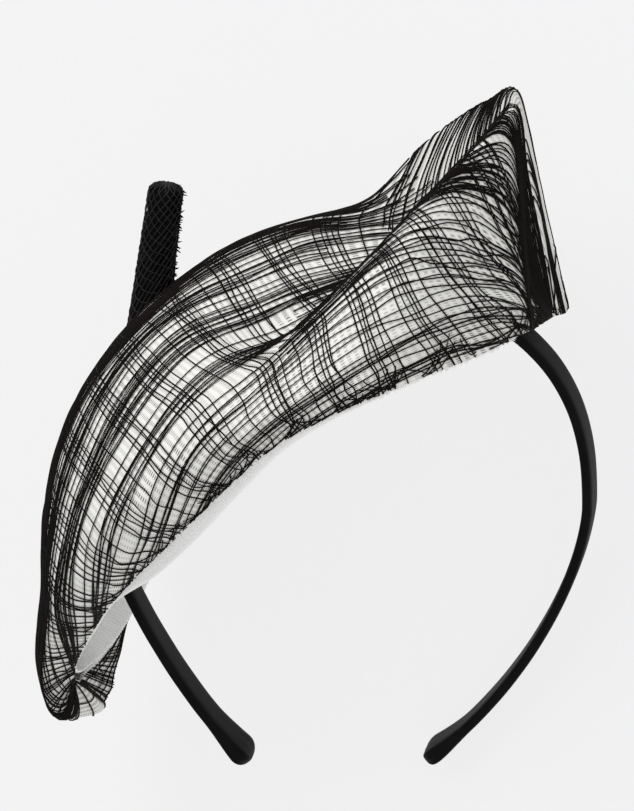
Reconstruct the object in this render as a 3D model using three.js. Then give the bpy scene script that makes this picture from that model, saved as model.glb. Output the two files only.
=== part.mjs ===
// A beret-shaped percher fascinator on a headband, lying on its back the way it rests on a table.
// Pieces: hat (blocked straw shell), head_ribbon (strip inside the rim), headband, stalk.
// While it is shaped, X runs to the wearer's left, Y to the back edge of the hat, Z up the head.
import * as THREE from 'three';
import { ConvexHull } from 'three/addons/math/ConvexHull.js';

// Hat shell
const HAT_LENGTH = 184;
const HALF_DEPTH = 66.5;
const CROWN_HEIGHT = 48;
const SHELL_WALL = 1.3;
const HAT_SLANT = 41;
const HAT_DIP = 5;

// Head ribbon
const RIBBON_WIDTH = 10;
const RIBBON_THICK = 1;
const RIBBON_GAP = 0.4;
const RIBBON_EDGE = 0.3;
const RIBBON_LEAN = 0.05;
const RIBBON_RUN = { from: 0.14, to: 0.86 };

// Headband
const BAND_HALF_WIDTH = 70.9;
const BAND_RISE = 63.6;
const BAND_WIDTH = 10.6;
const BAND_THICK = 3.1;
const LEFT_ARM_DROP = 103.4;
const RIGHT_ARM_DROP = 94.5;
const LEFT_TIP_DEPTH = 87.3;
const RIGHT_TIP_DEPTH = 82;
const TIP_LENGTH = 18;
const TIP_WIDTH_GAIN = 0.28;
const TIP_THICK_GAIN = 0.7;
const SHOULDER_POWER = { left: 1.75, right: 2.5 };
const ARM_POWER = { left: 1.46, right: 1.54 };

// Stalk
const STALK_LENGTH = 36.5;
const STALK_RADIUS = 5.1;
const STALK_FLARE = 1.16;
const STALK_CLOSE = 0.9;
const STALK_WALL = 1.3;
const STALK_SEAT_GAP = 0.35;
const STALK_FOOT = { along: 0.446, over: 0.575 };
const STALK_LEAN = new THREE.Vector3(0.11, 0.12, 0.98);

// Mesh steps
const STEPS_PER_SECTION = 4;
const STEPS_OVER = [3, 5, 4, 5, 5, 5, 4];
const BAND_STEPS = 76;
const BAND_SIDES = 12;
const BAND_SQUARENESS = 5;
const STALK_SIDES = 20;

// Weights of the pieces per cubic millimetre, in grams
const STRAW_DENSITY = 0.0005;
const BAND_DENSITY = 0.0011;

// A resting face has to look to the back edge at least this much
const LEAST_BACK_LEAN = 0.3;

// Sections of the hat from the slit end at the wearer's right to the point at the left.
// at and rise place the near rim as shares of HAT_LENGTH in percent; tilt turns the section in degrees.
// Names ending in D, rim and backRim are percent of HALF_DEPTH; names ending in H, the drop and the lags
// are percent of CROWN_HEIGHT; ribbon is how far the ribbon shows, in percent of RIBBON_WIDTH.
const SECTION_COLUMNS = [
  'at', 'rise', 'tilt', 'rim', 'wideD', 'wideH', 'nearD', 'nearH', 'foldD', 'foldH', 'crownD', 'crownH',
  'farD', 'farH', 'rollD', 'rollH', 'rollLag', 'backRim', 'backDrop', 'backLag', 'ribbon',
];
const SECTIONS = [
  [-55.4, -0.1, -150, 0, 0, 0, 0, 0, 0, 0, 0, 0, 0, 0, 0, 0, 0, 0, 0, 0, 0],
  [-55, -0.2, -130, 2.3, 12, 8, -11, 18, -5, 23, 4, 26, 14, 30, 23, 30, -13.5, 5, -3, -2, 0],
  [-54, 0.4, -80, 4.5, 18, 8, -17, 15, -8, 18, 2, 19.5, 20, 18, 31, 4, -26, 11, -4, -7, 0],
  [-51.1, 2.3, -38, 12, 24, 10, -23, 18, -12, 24, 2, 26, 26, 20, 42, -11, -19, 21, 7, -12, 0],
  [-44.6, 4.9, -16, 26, 38, 13, -33, 28, -18, 37, 2, 41, 33, 32, 53, -6, -13, 36, 12, -14, 0],
  [-35.9, 7.8, -9, 43, 59, 15, -50, 41, -27, 58, 3, 67, 57, 52, 75, 4, -6, 53, 9, -8, 4],
  [-25, 10.1, -4, 60, 77, 17, -65, 54, -35, 80, 5, 90, 72, 69, 87, 8, -2, 66, 11, -4, 38],
  [-13, 12.1, 1, 77, 89, 18, -75, 58, -41, 89, 6, 100, 78, 77, 92, 10, 0, 78, 12, 0, 43],
  [0, 14.1, 7, 89.5, 98, 19, -78, 55, -45, 80, 6, 95, 78, 73, 93, 10, 0, 86, 12, 0, 35],
  [10.9, 15.1, 18, 98, 101, 19, -65, 43, -44, 47, 5, 79, 71, 60, 92, 12, 0, 87, 12, 0, 23],
  [20.7, 14.1, 24, 100, 98, 21, -56, 52, -38, 44, 6, 60, 48, 67, 87, 15, 0, 86, 12, 0, 16],
  [29.3, 11.7, 28, 94, 87, 29, -51, 71, -30, 50, 0, 55, 34, 91, 75, 19, 0, 78, 12, 0, 10],
  [35.9, 8.8, 29, 77, 71, 37, -44, 91, -23, 71, -5, 75, 24, 107, 63, 25, 0, 63, 12, 0, 3],
  [40.8, 6, 31, 59, 51, 46, -30, 109, -18, 98, -6, 102, 13, 120, 42, 33, 0, 47, 13, 2, 0],
  [44.3, 3.5, 33, 32, 27, 50, -14, 122, -8, 123, -3, 125, 5, 126, 23, 46, 0, 30, 15, 3, 0],
  [43.8, 2.7, 34, 20, 17, 31, -9, 71, -5, 77, 0, 79, 8, 77, 17, 27, 1, 20, 10, 4, 0],
  [44.6, 1.6, 38, 0, 0, 0, 0, 0, 0, 0, 0, 0, 0, 0, 0, 0, 0, 0, 0, 0, 0],
];

// Where the points of a section stand on the way from the near rim, over the crown, to the far rim
const STATIONS = [0, 0.1, 0.3, 0.4, 0.52, 0.7, 0.89, 1];

const STRAW = { color: 0xd9d8d3, roughness: 0.8, metalness: 0 };
const RIBBON = { color: 0xf1f1ee, roughness: 0.75, metalness: 0 };
const SATIN = { color: 0x0c0c0d, roughness: 0.45, metalness: 0 };
const NET = { color: 0x0b0b0b, roughness: 0.6, metalness: 0 };

const slant = THREE.MathUtils.degToRad(HAT_SLANT);
const dip = THREE.MathUtils.degToRad(HAT_DIP);
const ALONG = new THREE.Vector3(Math.cos(slant), 0, Math.sin(slant));
const flatRise = new THREE.Vector3(-Math.sin(slant), 0, Math.cos(slant));
const BACK = new THREE.Vector3(0, Math.cos(dip), 0).addScaledVector(flatRise, -Math.sin(dip));
const RISE = flatRise.clone().multiplyScalar(Math.cos(dip)).add(new THREE.Vector3(0, Math.sin(dip), 0));

function splineValue(before, from, to, after, t) {
  const slopes = (to - before) * t;
  const bend = (2 * before - 5 * from + 4 * to - after) * t * t;
  const turn = (3 * from - before - 3 * to + after) * t * t * t;
  return 0.5 * (2 * from + slopes + bend + turn);
}

// The row of named sizes at a share u of the way from the slit end to the point
function sectionAt(u) {
  const last = SECTIONS.length - 1;
  const place = Math.min(Math.max(u, 0), 1) * last;
  const i = Math.min(Math.floor(place), last - 1);
  const row = {};
  SECTION_COLUMNS.forEach((name, column) => {
    const from = SECTIONS[i][column];
    const to = SECTIONS[i + 1][column];
    const before = i > 0 ? SECTIONS[i - 1][column] : 2 * from - to;
    const after = i + 2 <= last ? SECTIONS[i + 2][column] : 2 * to - from;
    row[name] = splineValue(before, from, to, after, place - i);
  });
  return row;
}

function sectionPoints(row) {
  const deep = HALF_DEPTH / 100;
  const high = CROWN_HEIGHT / 100;
  return [
    [-row.rim * deep, 0, 0],
    [-row.wideD * deep, row.wideH * high, 0],
    [row.nearD * deep, row.nearH * high, 0],
    [row.foldD * deep, row.foldH * high, 0],
    [row.crownD * deep, row.crownH * high, 0],
    [row.farD * deep, row.farH * high, 0],
    [row.rollD * deep, row.rollH * high, row.rollLag * high],
    [row.backRim * deep, -row.backDrop * high, row.backLag * high],
  ];
}

// Smooth curve through the points of one section, at a share v of the way over the hat
function overSection(points, v) {
  const last = STATIONS.length - 1;
  let i = 0;
  while (i < last - 1 && v > STATIONS[i + 1]) i += 1;
  const slope = (k, axis) => {
    const step = (a) => (points[a + 1][axis] - points[a][axis]) / (STATIONS[a + 1] - STATIONS[a]);
    if (k === 0) return step(0);
    if (k === last) return step(last - 1);
    const behind = STATIONS[k] - STATIONS[k - 1];
    const ahead = STATIONS[k + 1] - STATIONS[k];
    return (step(k - 1) * ahead + step(k) * behind) / (ahead + behind);
  };
  const width = STATIONS[i + 1] - STATIONS[i];
  const t = (v - STATIONS[i]) / width;
  return [0, 1, 2].map((axis) => {
    const start = points[i][axis] * (2 * t ** 3 - 3 * t ** 2 + 1);
    const end = points[i + 1][axis] * (3 * t ** 2 - 2 * t ** 3);
    const leave = slope(i, axis) * width * (t ** 3 - 2 * t ** 2 + t);
    const arrive = slope(i + 1, axis) * width * (t ** 3 - t ** 2);
    return start + end + leave + arrive;
  });
}

function place(row, depth, height, lag) {
  const tilt = THREE.MathUtils.degToRad(row.tilt);
  const along = (row.at * HAT_LENGTH) / 100 + height * Math.sin(tilt) + lag * Math.cos(tilt);
  const rise = (row.rise * HAT_LENGTH) / 100 + height * Math.cos(tilt) - lag * Math.sin(tilt);
  return new THREE.Vector3()
    .addScaledVector(ALONG, along)
    .addScaledVector(BACK, depth)
    .addScaledVector(RISE, rise);
}

function hatPoint(u, v) {
  const row = sectionAt(u);
  const [depth, height, lag] = overSection(sectionPoints(row), v);
  return place(row, depth, height, lag);
}

function meshGeometry(points, triangles) {
  const geometry = new THREE.BufferGeometry();
  const flat = points.flatMap((p) => [p.x, p.y, p.z]);
  geometry.setAttribute('position', new THREE.Float32BufferAttribute(flat, 3));
  geometry.setIndex(triangles);
  if (solidMoments(geometry).volume < 0) {
    for (let k = 0; k < triangles.length; k += 3) {
      [triangles[k + 1], triangles[k + 2]] = [triangles[k + 2], triangles[k + 1]];
    }
    geometry.setIndex(triangles);
  }
  geometry.computeVertexNormals();
  return geometry;
}

// Volume of a closed mesh and the volume-weighted sum of its points
function solidMoments(geometry) {
  const position = geometry.getAttribute('position');
  const index = geometry.getIndex().array;
  const sum = new THREE.Vector3();
  let volume = 0;
  for (let k = 0; k < index.length; k += 3) {
    const [a, b, c] = [0, 1, 2].map((n) => new THREE.Vector3().fromBufferAttribute(position, index[k + n]));
    const piece = a.dot(new THREE.Vector3().crossVectors(b, c)) / 6;
    volume += piece;
    sum.addScaledVector(a.add(b).add(c), piece / 4);
  }
  return { volume, sum };
}

function overShares() {
  const shares = [0];
  STEPS_OVER.forEach((steps, span) => {
    for (let k = 1; k <= steps; k += 1) {
      shares.push(STATIONS[span] + ((STATIONS[span + 1] - STATIONS[span]) * k) / steps);
    }
  });
  return shares;
}

// Closed shell: outer skin, inner skin one wall further in, and the edge that joins them round the rim
function hatGeometry() {
  const shares = overShares();
  const rows = (SECTIONS.length - 1) * STEPS_PER_SECTION;
  const across = shares.length;
  const skin = [hatPoint(0, 0)];
  for (let i = 1; i < rows; i += 1) {
    shares.forEach((v) => skin.push(hatPoint(i / rows, v)));
  }
  skin.push(hatPoint(1, 0));
  const far = skin.length - 1;
  const at = (i, j) => {
    if (i === 0) return 0;
    return i === rows ? far : 1 + (i - 1) * across + j;
  };
  const outer = [];
  for (let i = 0; i < rows; i += 1) {
    for (let j = 0; j < across - 1; j += 1) {
      if (i > 0) outer.push(at(i, j), at(i, j + 1), at(i + 1, j + 1));
      if (i === 0) outer.push(at(0, 0), at(1, j + 1), at(1, j));
      else if (i < rows - 1) outer.push(at(i, j), at(i + 1, j + 1), at(i + 1, j));
    }
  }
  const open = new THREE.BufferGeometry();
  open.setAttribute('position', new THREE.Float32BufferAttribute(skin.flatMap((p) => [p.x, p.y, p.z]), 3));
  open.setIndex(outer);
  open.computeVertexNormals();
  const normals = open.getAttribute('normal');
  const crown = at(rows / 2, Math.round(across / 2));
  const outward = new THREE.Vector3().fromBufferAttribute(normals, crown).dot(RISE) > 0 ? 1 : -1;
  const inner = skin.map((p, k) => {
    const normal = new THREE.Vector3().fromBufferAttribute(normals, k);
    return p.clone().addScaledVector(normal, -outward * SHELL_WALL);
  });
  const count = skin.length;
  const triangles = [...outer];
  for (let k = 0; k < outer.length; k += 3) {
    triangles.push(outer[k] + count, outer[k + 2] + count, outer[k + 1] + count);
  }
  for (let i = 0; i < rows; i += 1) {
    const [a, b] = [at(i, 0), at(i + 1, 0)];
    triangles.push(a, b, b + count, a, b + count, a + count);
    const [c, d] = [at(i, across - 1), at(i + 1, across - 1)];
    triangles.push(d, c, c + count, d, c + count, d + count);
  }
  return meshGeometry([...skin, ...inner], triangles);
}

// A rectangle carried along stations, each with its foot, its inward way and its up way
function strip(stations) {
  const points = [];
  stations.forEach(({ foot, inward, up, below, above }) => {
    [[0, -below], [RIBBON_THICK, -below], [RIBBON_THICK, above], [0, above]].forEach(([into, raise]) => {
      points.push(foot.clone().addScaledVector(inward, into).addScaledVector(up, raise));
    });
  });
  const triangles = [];
  for (let i = 0; i < stations.length - 1; i += 1) {
    for (let side = 0; side < 4; side += 1) {
      const turn = (side + 1) % 4;
      const [a, b] = [i * 4 + side, i * 4 + turn];
      triangles.push(a, b, b + 4, a, b + 4, a + 4);
    }
  }
  const end = (stations.length - 1) * 4;
  triangles.push(0, 2, 1, 0, 3, 2, end, end + 1, end + 2, end, end + 2, end + 3);
  return meshGeometry(points, triangles);
}

function ribbonGeometry() {
  const first = RIBBON_RUN.from;
  const last = RIBBON_RUN.to;
  const steps = 40;
  const inset = SHELL_WALL + RIBBON_GAP;
  const side = (u, far) => {
    const row = sectionAt(u);
    const rim = hatPoint(u, far ? 1 : 0);
    const other = hatPoint(u, far ? 0 : 1);
    const ahead = hatPoint(u + 0.004, far ? 1 : 0);
    const behind = hatPoint(u - 0.004, far ? 1 : 0);
    const run = ahead.sub(behind).normalize();
    const tilt = THREE.MathUtils.degToRad(row.tilt);
    const up = new THREE.Vector3();
    up.addScaledVector(ALONG, Math.sin(tilt)).addScaledVector(RISE, Math.cos(tilt));
    const inward = other.sub(rim);
    inward.addScaledVector(run, -inward.dot(run)).addScaledVector(up, -inward.dot(up)).normalize();
    up.addScaledVector(run, -up.dot(run)).normalize();
    const wall = hatPoint(u, far ? STATIONS[6] : STATIONS[1]).sub(rim);
    const lean = Math.max(0, wall.dot(inward) / Math.max(wall.dot(up), 1)) + RIBBON_LEAN;
    up.addScaledVector(inward, lean).normalize();
    const shows = (row.ribbon * RIBBON_WIDTH) / 100;
    const below = far ? RIBBON_EDGE : Math.max(shows, RIBBON_EDGE);
    const above = (RIBBON_WIDTH - below) * Math.min(1, 0.5 + (u - first) * 8, 0.5 + (last - u) * 8);
    return { foot: rim.addScaledVector(inward, inset), inward, up, below, above };
  };
  const near = [];
  const back = [];
  for (let k = 0; k <= steps; k += 1) {
    const u = first + ((last - first) * k) / steps;
    near.push(side(u, false));
    back.push(side(u, true));
  }
  const [one, two] = [near[0], back[0]];
  const inward = near[1].foot.clone().add(back[1].foot).sub(one.foot).sub(two.foot);
  const up = one.up.clone().add(two.up).normalize();
  inward.addScaledVector(up, -inward.dot(up)).normalize();
  const foot = one.foot.clone().add(two.foot).multiplyScalar(0.5);
  foot.addScaledVector(inward, -one.foot.distanceTo(two.foot) * 0.1);
  const bend = { foot, inward, up, below: RIBBON_EDGE, above: one.above };
  return strip([...near.reverse(), bend, ...back]);
}

// Middle line of the band: four arcs that share their ends, one for each shoulder and each arm
function bandPoint(angle) {
  const c = Math.cos(angle);
  const s = Math.sin(angle);
  const hand = c < 0 ? 'left' : 'right';
  const drop = hand === 'left' ? LEFT_ARM_DROP : RIGHT_ARM_DROP;
  const reach = s >= 0 ? BAND_RISE : drop;
  const power = s >= 0 ? SHOULDER_POWER[hand] : ARM_POWER[hand];
  const sum = Math.abs(c / BAND_HALF_WIDTH) ** power + Math.abs(s / reach) ** power;
  const radius = sum ** (-1 / power);
  return new THREE.Vector3(radius * c, 0, radius * s);
}

function bandPath() {
  const fine = [];
  for (let k = 0; k <= 1440; k += 1) {
    fine.push(bandPoint(THREE.MathUtils.degToRad(-90 + k * 0.25)));
  }
  const start = fine.findIndex((p) => p.x > 0 && p.z > -RIGHT_TIP_DEPTH);
  const stop = fine.findLastIndex((p) => p.x < 0 && p.z > -LEFT_TIP_DEPTH);
  const run = fine.slice(start, stop + 1);
  const curve = new THREE.CatmullRomCurve3(run);
  curve.arcLengthDivisions = run.length * 2;
  return curve;
}

// Rounded flat section, fuller at the tips and closed over each end
function bandGeometry() {
  const curve = bandPath();
  const length = curve.getLength();
  const points = [];
  const ring = (share, swell, shrink) => {
    const middle = curve.getPointAt(share);
    const run = curve.getTangentAt(share);
    const out = new THREE.Vector3(run.z, 0, -run.x);
    const half = (BAND_WIDTH / 2) * (1 + TIP_WIDTH_GAIN * swell) * shrink;
    const thick = (BAND_THICK / 2) * (1 + TIP_THICK_GAIN * swell) * shrink;
    for (let k = 0; k < BAND_SIDES; k += 1) {
      const turn = ((k + 0.5) / BAND_SIDES) * Math.PI * 2;
      const c = Math.cos(turn);
      const s = Math.sin(turn);
      const powers = Math.abs(c) ** BAND_SQUARENESS + Math.abs(s) ** BAND_SQUARENESS;
      const square = powers ** (-1 / BAND_SQUARENESS);
      points.push(middle.clone().setY(half * square * c).addScaledVector(out, thick * square * s));
    }
  };
  const cap = 0.0075;
  const caps = [[0.04, 0.42], [0.3, 0.78], [0.62, 0.95]];
  const shares = caps.map(([at, shrink]) => [at * cap * 2, shrink]);
  for (let k = 0; k < BAND_STEPS; k += 1) {
    shares.push([2 * cap + ((1 - 4 * cap) * k) / (BAND_STEPS - 1), 1]);
  }
  shares.push(...caps.map(([at, shrink]) => [1 - at * cap * 2, shrink]).reverse());
  shares.forEach(([share, shrink]) => {
    const fromTip = Math.min(share, 1 - share) * length;
    const t = Math.max(0, 1 - fromTip / TIP_LENGTH);
    ring(share, t * t * (3 - 2 * t), shrink);
  });
  const rings = shares.length;
  const triangles = [];
  for (let i = 0; i < rings - 1; i += 1) {
    for (let k = 0; k < BAND_SIDES; k += 1) {
      const turn = (k + 1) % BAND_SIDES;
      const [a, b] = [i * BAND_SIDES + k, i * BAND_SIDES + turn];
      const [c, d] = [(i + 1) * BAND_SIDES + turn, (i + 1) * BAND_SIDES + k];
      triangles.push(a, c, b, a, d, c);
    }
  }
  points.push(curve.getPointAt(0), curve.getPointAt(1));
  const [first, last] = [points.length - 2, points.length - 1];
  for (let k = 0; k < BAND_SIDES; k += 1) {
    const turn = (k + 1) % BAND_SIDES;
    triangles.push(first, k, turn);
    triangles.push(last, (rings - 1) * BAND_SIDES + turn, (rings - 1) * BAND_SIDES + k);
  }
  return meshGeometry(points, triangles);
}

// Hollow roll, open at its foot, whose foot follows the crown a seat gap above it
function stalkGeometry(hat) {
  const axis = STALK_LEAN.clone().normalize();
  const side = new THREE.Vector3(1, 0, 0).addScaledVector(axis, -axis.x).normalize();
  const deep = new THREE.Vector3().crossVectors(axis, side);
  const foot = hatPoint(STALK_FOOT.along, STALK_FOOT.over);
  const crown = new THREE.Mesh(hat, new THREE.MeshBasicMaterial({ side: THREE.DoubleSide }));
  const ray = new THREE.Raycaster();
  const drop = (start) => {
    ray.set(start.clone().addScaledVector(axis, STALK_LENGTH), axis.clone().negate());
    return STALK_LENGTH - ray.intersectObject(crown)[0].distance + STALK_SEAT_GAP;
  };
  const levels = [0, 0.14, 0.35, 0.62, 0.9, 0.98];
  const wall = (radius, top, reversed) => {
    const points = [];
    levels.forEach((level) => {
      for (let k = 0; k < STALK_SIDES; k += 1) {
        const turn = (k / STALK_SIDES) * Math.PI * 2;
        const flare = 1 + (STALK_FLARE - 1) * (1 - level) ** 1.5;
        const close = level > 0.9 ? STALK_CLOSE : 1;
        const around = foot.clone()
          .addScaledVector(side, Math.cos(turn) * radius * flare * close)
          .addScaledVector(deep, Math.sin(turn) * radius * flare * close);
        const low = drop(around);
        points.push(around.addScaledVector(axis, low + (top - low) * level));
      }
    });
    points.push(foot.clone().addScaledVector(axis, top));
    const triangles = [];
    for (let i = 0; i < levels.length - 1; i += 1) {
      for (let k = 0; k < STALK_SIDES; k += 1) {
        const turn = (k + 1) % STALK_SIDES;
        const [a, b] = [i * STALK_SIDES + k, i * STALK_SIDES + turn];
        const [c, d] = [(i + 1) * STALK_SIDES + turn, (i + 1) * STALK_SIDES + k];
        triangles.push(a, b, c, a, c, d);
      }
    }
    const lastRing = (levels.length - 1) * STALK_SIDES;
    for (let k = 0; k < STALK_SIDES; k += 1) {
      triangles.push(lastRing + k, lastRing + ((k + 1) % STALK_SIDES), points.length - 1);
    }
    if (reversed) triangles.reverse();
    return { points, triangles };
  };
  const outer = wall(STALK_RADIUS, STALK_LENGTH, false);
  const inner = wall(STALK_RADIUS - STALK_WALL, STALK_LENGTH - STALK_WALL, true);
  const shift = outer.points.length;
  const triangles = [...outer.triangles, ...inner.triangles.map((k) => k + shift)];
  for (let k = 0; k < STALK_SIDES; k += 1) {
    const turn = (k + 1) % STALK_SIDES;
    triangles.push(turn, k, k + shift, turn, k + shift, turn + shift);
  }
  return meshGeometry([...outer.points, ...inner.points], triangles);
}

// Turn that lays the whole piece on its back: the widest hull face there that holds the balance point
function restingTurn(solids) {
  const balance = new THREE.Vector3();
  let weight = 0;
  const cloud = [];
  solids.forEach(({ geometry, density }) => {
    const { volume, sum } = solidMoments(geometry);
    balance.addScaledVector(sum, density);
    weight += volume * density;
    const position = geometry.getAttribute('position');
    for (let k = 0; k < position.count; k += 1) {
      cloud.push(new THREE.Vector3().fromBufferAttribute(position, k));
    }
  });
  balance.divideScalar(weight);
  const hull = new ConvexHull().setFromPoints(cloud);
  const faces = hull.faces.filter((face) => {
    if (face.normal.y < LEAST_BACK_LEAN) return false;
    const edges = [face.edge, face.edge.next, face.edge.prev];
    return edges.every((edge) => {
      const from = edge.tail().point;
      const inwardSide = new THREE.Vector3().crossVectors(face.normal, edge.head().point.clone().sub(from));
      return inwardSide.dot(balance.clone().sub(from)) >= 0;
    });
  });
  faces.sort((one, other) => other.area - one.area);
  const floor = faces[0].normal;
  const right = new THREE.Vector3(1, 0, 0).addScaledVector(floor, -floor.x).normalize();
  const up = floor.clone().negate();
  const away = new THREE.Vector3().crossVectors(up, right);
  return new THREE.Matrix4().makeBasis(right, away, up).transpose();
}

function named(name, geometry, look) {
  const mesh = new THREE.Mesh(geometry, new THREE.MeshStandardMaterial(look));
  mesh.name = name;
  return mesh;
}

const hat = hatGeometry();
const ribbon = ribbonGeometry();
const band = bandGeometry();
const stalk = stalkGeometry(hat);
const turn = restingTurn([
  { geometry: hat, density: STRAW_DENSITY },
  { geometry: ribbon, density: STRAW_DENSITY },
  { geometry: band, density: BAND_DENSITY },
  { geometry: stalk, density: STRAW_DENSITY },
]);
const pieces = [hat, ribbon, band, stalk];
const box = new THREE.Box3();
pieces.forEach((geometry) => {
  geometry.applyMatrix4(turn);
  geometry.computeBoundingBox();
  box.union(geometry.boundingBox);
});
const centre = box.getCenter(new THREE.Vector3());
pieces.forEach((geometry) => geometry.translate(-centre.x, -centre.y, -box.min.z));

const fascinator = new THREE.Group();
fascinator.name = 'fascinator';
fascinator.add(
  named('hat', hat, STRAW),
  named('head_ribbon', ribbon, RIBBON),
  named('headband', band, SATIN),
  named('stalk', stalk, NET),
);

export default fascinator;
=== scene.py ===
import math

import bpy
import numpy as np
from mathutils import Matrix


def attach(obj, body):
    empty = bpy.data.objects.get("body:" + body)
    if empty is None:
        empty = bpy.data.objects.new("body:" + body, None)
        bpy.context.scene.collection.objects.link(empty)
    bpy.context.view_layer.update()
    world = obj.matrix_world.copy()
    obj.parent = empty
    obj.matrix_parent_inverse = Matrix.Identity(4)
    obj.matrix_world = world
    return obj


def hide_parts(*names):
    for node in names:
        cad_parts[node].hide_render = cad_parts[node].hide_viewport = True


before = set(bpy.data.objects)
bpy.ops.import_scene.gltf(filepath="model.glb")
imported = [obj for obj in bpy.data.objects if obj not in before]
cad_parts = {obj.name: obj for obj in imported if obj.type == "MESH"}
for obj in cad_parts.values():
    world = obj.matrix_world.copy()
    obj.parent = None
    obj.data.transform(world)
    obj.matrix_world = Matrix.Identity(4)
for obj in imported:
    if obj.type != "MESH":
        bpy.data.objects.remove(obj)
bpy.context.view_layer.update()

# Shape of the straw, in millimetres, in the frame the hat was shaped in:
# X to the wearer's left, Y to the back edge of the hat, Z up the head.
# The slit end, in the first four rows, is up to 2.4 mm rounder here than in the solid.
HAT_LENGTH = 184.0
HALF_DEPTH = 66.5
CROWN_HEIGHT = 48.0
SHELL_WALL = 1.3
HAT_SLANT = math.radians(41)
HAT_DIP = math.radians(5)
SECTION_COLUMNS = (
    "at", "rise", "tilt", "rim", "wideD", "wideH", "nearD", "nearH", "foldD", "foldH", "crownD",
    "crownH", "farD", "farH", "rollD", "rollH", "rollLag", "backRim", "backDrop", "backLag", "ribbon",
)
SECTIONS = np.array([
    [-55.4, -0.1, -150, 0, 0, 0, 0, 0, 0, 0, 0, 0, 0, 0, 0, 0, 0, 0, 0, 0, 0],
    [-55, -0.2, -130, 2.3, 12, 8, -11, 18, -5, 23, 4, 26, 12.5, 32, 25, 26, -13.5, 5, -3, -2, 0],
    [-54, 0.4, -80, 4.5, 18, 8, -17, 15, -8, 18, 2, 19.5, 20, 18, 32, 4, -27, 11, -4, -7, 0],
    [-51.1, 2.3, -38, 12, 24, 10, -23, 18, -12, 24, 2, 26, 26, 20, 42, -11.5, -19, 21, 7, -12, 0],
    [-44.6, 4.9, -16, 26, 38, 13, -33, 28, -18, 37, 2, 41, 33, 32, 53, -6, -13, 36, 12, -14, 0],
    [-35.9, 7.8, -9, 43, 59, 15, -50, 41, -27, 58, 3, 67, 57, 52, 75, 4, -6, 53, 9, -8, 4],
    [-25, 10.1, -4, 60, 77, 17, -65, 54, -35, 80, 5, 90, 72, 69, 87, 8, -2, 66, 11, -4, 38],
    [-13, 12.1, 1, 77, 89, 18, -75, 58, -41, 89, 6, 100, 78, 77, 92, 10, 0, 78, 12, 0, 43],
    [0, 14.1, 7, 89.5, 98, 19, -78, 55, -45, 80, 6, 95, 78, 73, 93, 10, 0, 86, 12, 0, 35],
    [10.9, 15.1, 18, 98, 101, 19, -65, 43, -44, 47, 5, 79, 71, 60, 92, 12, 0, 87, 12, 0, 23],
    [20.7, 14.1, 24, 100, 98, 21, -56, 52, -38, 44, 6, 60, 48, 67, 87, 15, 0, 86, 12, 0, 16],
    [29.3, 11.7, 28, 94, 87, 29, -51, 71, -30, 50, 0, 55, 34, 91, 75, 19, 0, 78, 12, 0, 10],
    [35.9, 8.8, 29, 77, 71, 37, -44, 91, -23, 71, -5, 75, 24, 107, 63, 25, 0, 63, 12, 0, 3],
    [40.8, 6, 31, 59, 51, 46, -30, 109, -18, 98, -6, 102, 13, 120, 42, 33, 0, 47, 13, 2, 0],
    [44.3, 3.5, 33, 32, 27, 50, -14, 122, -8, 123, -3, 125, 5, 126, 23, 46, 0, 30, 15, 3, 0],
    [43.8, 2.7, 34, 20, 17, 31, -9, 71, -5, 77, 0, 79, 8, 77, 17, 27, 1, 20, 10, 4, 0],
    [44.6, 1.6, 38, 0, 0, 0, 0, 0, 0, 0, 0, 0, 0, 0, 0, 0, 0, 0, 0, 0, 0],
])
STATIONS = np.array([0, 0.1, 0.3, 0.4, 0.52, 0.7, 0.89, 1])
ALONG = np.array([math.cos(HAT_SLANT), 0, math.sin(HAT_SLANT)])
FLAT_RISE = np.array([-math.sin(HAT_SLANT), 0, math.cos(HAT_SLANT)])
BACK = np.array([0, math.cos(HAT_DIP), 0]) - FLAT_RISE * math.sin(HAT_DIP)
RISE = FLAT_RISE * math.cos(HAT_DIP) + np.array([0, math.sin(HAT_DIP), 0])

# How the shaped hat lies on the floor: its three axes seen there, and the shift that follows, in mm
REST_TURN = np.array([
    [0.94065, -0.31318, 0.13073],
    [0.0, 0.38522, 0.92283],
    [-0.33937, -0.86806, 0.36235],
])
REST_SHIFT = np.array([10.2488, -16.3608, 44.0446])

# The photograph's view of the shaped hat
CAMERA_TURN = math.radians(10.5)
CAMERA_RISE = math.radians(24)
MM_PER_PIXEL = 0.28
IMAGE_WIDTH = 634
IMAGE_HEIGHT = 811
ORIGIN_PIXEL = (340, 484)
CAMERA_DISTANCE = 6000.0
SENSOR_WIDTH = 36

# Threads, and how high their middle lines lie above the straw
THREAD_RADIUS = 0.21
THREAD_STEP = 1.5
THREAD_SIDES = 4
ALONG_LIFT = 0.3
ACROSS_LIFT = 0.2
TANGLE_LIFT = 0.35

# Mesh steps of the straw along and over the hat
SHELL_ROWS = 280
SHELL_COLUMNS = 150

# Length of the cloth along the hat in its UV map, in mm
CLOTH_LENGTH = 200

# Spacing of the straw's strands over and along the hat, in mm
STRAW_PITCH = (0.85, 1.25)
SEED = 11

# The floor glows a little, as a lit studio sweep does, and reaches this many metres each way
FLOOR_GLOW = 0.805
FLOOR_REACH = 6.0
WORLD_STRENGTH = 0.68

# Soft lamps: how far to the picture's right, up and towards the camera they stand, their distance
# in mm, their width in metres and their power in watts
LAMPS = {
    "key": (-0.65, 0.75, 0.6, 1400, 0.9, 10),
    "fill": (0.1, -0.2, 1.0, 1600, 1.6, 4),
}


def to_world(points):
    """Points of the shaping frame in mm, as metres in the frame of the part."""
    return (np.asarray(points) @ REST_TURN.T + REST_SHIFT) / 1000


def turned(vector):
    return REST_TURN @ np.asarray(vector, float)


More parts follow.
